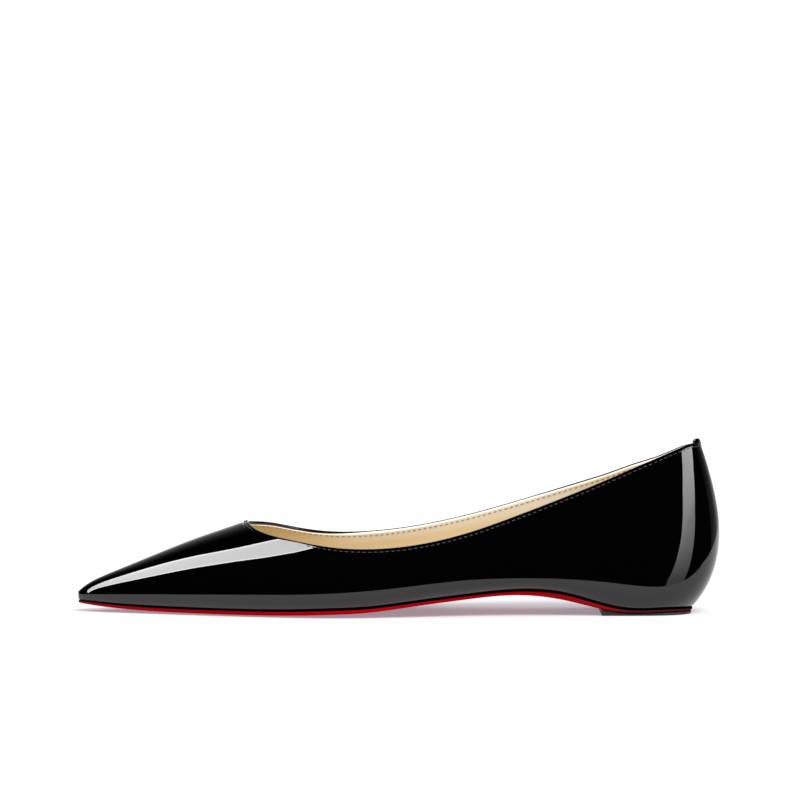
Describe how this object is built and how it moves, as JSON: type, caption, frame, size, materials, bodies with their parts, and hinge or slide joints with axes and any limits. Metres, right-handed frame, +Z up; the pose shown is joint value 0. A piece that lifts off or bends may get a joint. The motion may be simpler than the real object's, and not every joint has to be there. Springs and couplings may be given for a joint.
{
  "type": "ballet flat shoe",
  "caption": "Left pointed-toe slip-on flat with a glossy patent leather upper, gold-beige leather inside, thin red outsole and a low wrapped heel.",
  "frame": {"origin": "on the floor, under the middle of the shoe's length and width", "axes": "+Z up, +X from the toe to the heel, +Y to the inner (medial) side of this left shoe"},
  "size_m": [0.265, 0.0804, 0.0714],
  "materials": {
    "patent_leather": "black patent leather, mirror gloss under a clear coat",
    "sole_leather": "plain red lacquered sole leather, semi-gloss",
    "lining_leather": "gold-beige lining leather, soft satin with a fine grain",
    "heel_board": "stacked leatherboard, matte",
    "lift_rubber": "matte black rubber",
    "thread": "fine waxed stitching thread"
  },
  "bodies": {
    "root": {"upper": "patent_leather", "outsole": "sole_leather", "insole": "lining_leather", "heel": "heel_board", "top_lift": "lift_rubber"}
  },
  "joints": []
}
